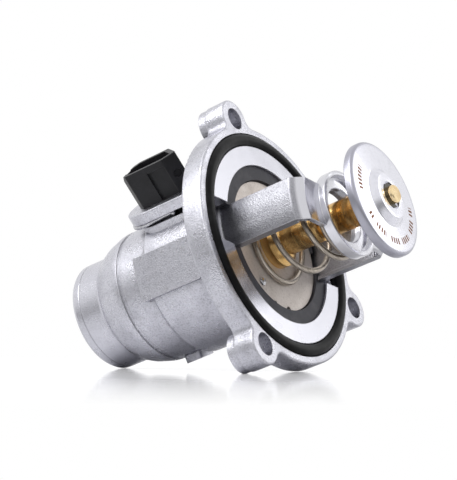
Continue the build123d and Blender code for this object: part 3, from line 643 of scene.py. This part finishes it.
class ThermostatValve(bpy.types.Operator):
    """Finish the bridge, the valve plate, the wax element and the bypass disc."""

    bl_idname = "thermostat.valve"
    bl_label = "Valve"

    def execute(self, context):
        finish = context.scene.thermostat_finish
        dress(pressed_sheet(finish), "bridge")
        dress(sintered_plate(finish), "valve_plate")
        brass = turned_brass("Turned brass", finish.brass, roughness=0.24)
        dress(brass, "element_cup", "element_guide")
        gilt = turned_brass("Polished gilt pin", finish.pin, roughness=0.12)
        dress(gilt, "bypass_pin")
        dress(satin_disc(finish), "bypass_disc")
        clip = plain_metal("Oiled clip steel", "#4c4844", "#1e1c1b", roughness=0.32, spot=0.8)
        dress(clip, "pin_clip")
        ground = plain_metal("Ground piston steel", "#c4c4c8", "#8a8a90", roughness=0.18, spot=0.6)
        dress(ground, "working_piston")
        sheath = plain_metal("Heater sheath steel", "#8e8e92", "#57575b", roughness=0.35, spot=0.5)
        dress(sheath, "heater_rod")
        elastomer = rubber("Black elastomer", linear("#18181a"), grain=0.25, bloom=0.1)
        dress(elastomer, "elastomer_sleeve")
        dress(paraffin(), "wax_charge")
        tinned = plain_metal("Tinned rivet steel", "#d4d4d8", "#6e6e74", roughness=0.2, spot=0.5)
        back, front = (corner.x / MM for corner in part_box("valve_plate"))
        profile = [(back + height, radius) for height, radius in RIVET_BACK]
        profile += [(front + height, radius) for height, radius in RIVET_FRONT]
        centre = Matrix.Rotation(radians(VENT_ANGLE), 2) @ Vector((VENT_DISTANCE * MM, 0))
        rivet = turned_piece("vent_rivet", tinned, profile, centre)
        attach(rivet, "element")
        return {"FINISHED"}


class ThermostatConnector(bpy.types.Operator):
    """Finish the electric connector and the parts it holds."""

    bl_idname = "thermostat.connector"
    bl_label = "Connector"

    def execute(self, context):
        finish = context.scene.thermostat_finish
        dress(glass_filled_nylon(finish), "connector_body")
        contact = plain_metal(
            "Tinned contact brass", "#d8d4c8", "#a39c8a", roughness=0.22, spot=0.4
        )
        dress(contact, "contact_pin_left", "contact_pin_right")
        copper = plain_metal("Copper wire", "#c27a50", "#7c4226", roughness=0.3, spot=0.4)
        dress(copper, "lead_wire_left", "lead_wire_right")
        silicone = rubber("Silicone ring", finish.orange, grain=0.25, bloom=0.1)
        dress(silicone, "connector_seal")
        clip_wire = plain_metal("Bright clip wire", "#c0c0c4", "#77777d", roughness=0.26, spot=0.5)
        dress(clip_wire, "retaining_clip")
        low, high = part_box("retaining_clip")
        middle = Vector((high.x - CLIP_END_INSET * MM, 0, (low.z + high.z) / 2))
        for side, sign in (("near", -1), ("far", 1)):
            shape = bmesh.new()
            end = middle + Vector((0, sign * CLIP_END_HALF_WIDTH * MM, 0))
            place = Matrix.Translation(end)
            radius = CLIP_END_RADIUS * MM
            bmesh.ops.create_icosphere(shape, subdivisions=3, radius=radius, matrix=place)
            tip = finished_piece("clip_end_" + side, shape, clip_wire)
            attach(tip, "base")
        return {"FINISHED"}


class ThermostatWindings(bpy.types.Operator):
    """Wind the main spring and the bypass spring."""

    bl_idname = "thermostat.springs"
    bl_label = "Springs"

    def execute(self, context):
        springs = context.scene.thermostat_springs
        steel = drawn_wire(context.scene.thermostat_finish)
        main_low, main_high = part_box("main_spring")
        inset = springs.main_wire / 2 + SPRING_GAP * MM
        main = wind(
            "main_coil",
            steel,
            springs.main_wire,
            (main_low.x + inset, main_high.x - inset),
            (springs.main_start_radius, springs.main_end_radius),
            MAIN_FLAT_TURNS,
            MAIN_FREE_TURNS,
            MAIN_START_ANGLE,
        )
        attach(main, "base")
        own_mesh(main)
        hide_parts("main_spring")
        low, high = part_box("bypass_spring")
        inset = springs.bypass_wire / 2 + SPRING_GAP * MM
        bypass = wind(
            "bypass_coil",
            steel,
            springs.bypass_wire,
            (low.x + inset, high.x - inset),
            (springs.bypass_start_radius, springs.bypass_end_radius),
            BYPASS_FLAT_TURNS,
            BYPASS_FREE_TURNS,
            BYPASS_START_ANGLE,
        )
        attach(bypass, "element")
        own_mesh(bypass)
        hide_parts("bypass_spring")
        return {"FINISHED"}


def turned_to(ahead, right):
    """Rotation that looks along one direction with another to its right."""
    ahead = ahead.normalized()
    right = (right - ahead * right.dot(ahead)).normalized()
    return Matrix((right, right.cross(ahead), -ahead)).transposed().to_quaternion()


def soft_light(name, place, size, power):
    """Square area light that looks at the part."""
    lamp = bpy.data.lights.new(name, "AREA")
    lamp.size = size
    lamp.energy = power
    light = bpy.data.objects.new(name, lamp)
    light.location = place
    light.rotation_mode = "QUATERNION"
    light.rotation_quaternion = (-place).to_track_quat("-Z", "Y")
    bpy.context.scene.collection.objects.link(light)


def floor_material(stage):
    """White acrylic sheet: pale, with a blurred reflection near the part, and clear from below."""
    material, tree, place = new_material("White acrylic sheet")
    grain = {"Vector": place, "Scale": 1 / 1.2, "Detail": 2.0, "Roughness": 0.55}
    haze = uneven(tree, add(tree, "TexNoise", grain), 0.0, 0.02)
    sheet = {
        "Base Color": layer(tree, stage.floor, haze, 1.0, linear("#e8e8ec")),
        "Roughness": 0.09,
        "Specular IOR Level": 0.42,
    }
    shader = add(tree, "BsdfPrincipled", sheet)
    seen = add(tree, "LightPath", output="Is Camera Ray")
    lift = add(tree, "Math", {0: seen, 1: stage.floor_lift}, operation="MULTIPLY")
    glow = add(tree, "Emission", {"Color": (1, 1, 1, 1), "Strength": lift})
    lit = add(tree, "AddShader", {0: shader, 1: glow})
    below = add(tree, "NewGeometry", output="Backfacing")
    reach = add(tree, "VectorMath", {0: place}, "Value", operation="LENGTH")
    start, end = FLOOR_FADE
    far = add(tree, "MapRange", {"Value": reach, "From Min": start, "From Max": end})
    gone = add(tree, "Math", {0: below, 1: far}, operation="MAXIMUM")
    mixed = add(tree, "MixShader", {0: gone, 1: lit, 2: add(tree, "BsdfTransparent")})
    add(tree, "OutputMaterial", {"Surface": mixed})
    return material


def surround(stage):
    """White surround: white to the eye and in glass, with a darker level band for the metals.

    The band stands at the height of the part on one side of the room, and the room fades a little
    to the right. Both are fixed in the room and don't follow the view.
    """
    world = bpy.data.worlds.new("White surround")
    bpy.context.scene.world = world
    world.use_nodes = True
    tree = world.node_tree
    tree.nodes.clear()
    way = add(tree, "TexCoord", output="Generated")
    path = add(tree, "LightPath").node.outputs

    def along(direction, limits, values):
        """One value to another, by how far a way into the room points along a direction."""
        dot = add(tree, "VectorMath", {0: way, 1: direction}, "Value", operation="DOT_PRODUCT")
        (low, high), (start, end) = limits, values
        change = {"From Min": low, "From Max": high, "To Min": start, "To Max": end}
        return add(tree, "MapRange", {"Value": dot, **change})

    near_side = along(LEVEL_AHEAD, (0.15, -0.35), (0.0, 1.0))
    over_floor = along(UP, (-0.35, -0.12), (0.0, 1.0))
    under_lamps = along(UP, (0.04, 0.36), (1.0, 0.0))
    level = add(tree, "Math", {0: over_floor, 1: under_lamps}, operation="MULTIPLY")
    band = add(tree, "Math", {0: near_side, 1: level}, operation="MULTIPLY")
    room = {0: band, 1: -BAND_SHADE, 2: ROOM_WHITE}
    room = add(tree, "Math", room, operation="MULTIPLY_ADD")
    left_bright = along(CAMERA_RIGHT, (-0.6, 0.8), (1.0, 0.9))
    room = add(tree, "Math", {0: room, 1: left_bright}, operation="MULTIPLY")
    glossy = path["Is Glossy Ray"]
    seen = {0: path["Is Camera Ray"], 1: path["Is Transmission Ray"]}
    seen = add(tree, "Math", seen, operation="MAXIMUM")
    mirrored = add(tree, "Math", {0: glossy, 1: room}, operation="MULTIPLY")
    white = add(tree, "Math", {0: seen, 1: mirrored}, operation="MAXIMUM")
    direct = add(tree, "Math", {0: seen, 1: glossy}, operation="MAXIMUM")
    plain = add(tree, "Math", {0: 1.0, 1: direct}, operation="SUBTRACT")
    strength = {0: plain, 1: stage.sky, 2: white}
    strength = add(tree, "Math", strength, operation="MULTIPLY_ADD")
    back = add(tree, "Background", {"Color": (1, 1, 1, 1), "Strength": strength})
    add(tree, "OutputWorld", {"Surface": back})


class ThermostatStudio(bpy.types.Operator):
    """Lay the floor, place the lights and set the camera."""

    bl_idname = "thermostat.studio"
    bl_label = "Stage"

    def execute(self, context):
        stage = context.scene.thermostat_stage
        shape = bmesh.new()
        level = UP.to_track_quat("Z", "Y").to_matrix().to_4x4()
        lie = Matrix.Translation(-UP * FLOOR_DEPTH) @ level
        bmesh.ops.create_circle(
            shape, cap_ends=True, segments=64, radius=FLOOR_RADIUS, matrix=lie
        )
        mesh = bpy.data.meshes.new("floor")
        shape.to_mesh(mesh)
        shape.free()
        if mesh.polygons[0].normal.dot(UP) < 0:
            mesh.flip_normals()
        mesh.materials.append(floor_material(stage))
        floor = bpy.data.objects.new("floor", mesh)
        context.scene.collection.objects.link(floor)

        soft_light("key_light", KEY_PLACE, KEY_SIZE, stage.key_power)
        soft_light("fill_light", FILL_PLACE, FILL_SIZE, stage.fill_power)
        surround(stage)

        lens = bpy.data.cameras.new("camera")
        lens.lens = stage.lens
        lens.clip_start = 0.01
        camera = bpy.data.objects.new("camera", lens)
        camera.location = CAMERA_PLACE
        camera.rotation_mode = "QUATERNION"
        camera.rotation_quaternion = turned_to(CAMERA_AHEAD, CAMERA_RIGHT)
        context.scene.collection.objects.link(camera)
        context.scene.camera = camera
        context.scene.view_settings.view_transform = "Standard"
        return {"FINISHED"}


class ThermostatPanel(bpy.types.Panel):
    """Steps and values of the thermostat's finish."""

    bl_idname = "VIEW3D_PT_thermostat"
    bl_label = "Thermostat"
    bl_space_type = "VIEW_3D"
    bl_region_type = "UI"
    bl_category = "Thermostat"

    def draw(self, context):
        for step in OPERATORS:
            self.layout.operator(step.bl_idname, text=step.bl_label)
        for pointer in GROUPS:
            group = getattr(context.scene, pointer)
            box = self.layout.box()
            for name in group.__annotations__:
                box.prop(group, name)


OPERATORS = (
    ThermostatCasting,
    ThermostatValve,
    ThermostatConnector,
    ThermostatWindings,
    ThermostatStudio,
)
GROUPS = {
    "thermostat_finish": ThermostatFinish,
    "thermostat_springs": ThermostatSprings,
    "thermostat_stage": ThermostatStage,
}


def register():
    """Registers the value groups, the steps and the panel."""
    for name, group in GROUPS.items():
        bpy.utils.register_class(group)
        setattr(bpy.types.Scene, name, bpy.props.PointerProperty(type=group))
    for step in (*OPERATORS, ThermostatPanel):
        bpy.utils.register_class(step)


def unregister():
    """Takes them away again, last first."""
    for step in reversed((*OPERATORS, ThermostatPanel)):
        bpy.utils.unregister_class(step)
    for name, group in reversed(GROUPS.items()):
        delattr(bpy.types.Scene, name)
        bpy.utils.unregister_class(group)


def main():
    """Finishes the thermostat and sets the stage."""
    register()
    bpy.ops.thermostat.casting()
    bpy.ops.thermostat.valve()
    bpy.ops.thermostat.connector()
    bpy.ops.thermostat.springs()
    bpy.ops.thermostat.studio()
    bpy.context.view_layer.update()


if __name__ == "__main__":
    main()
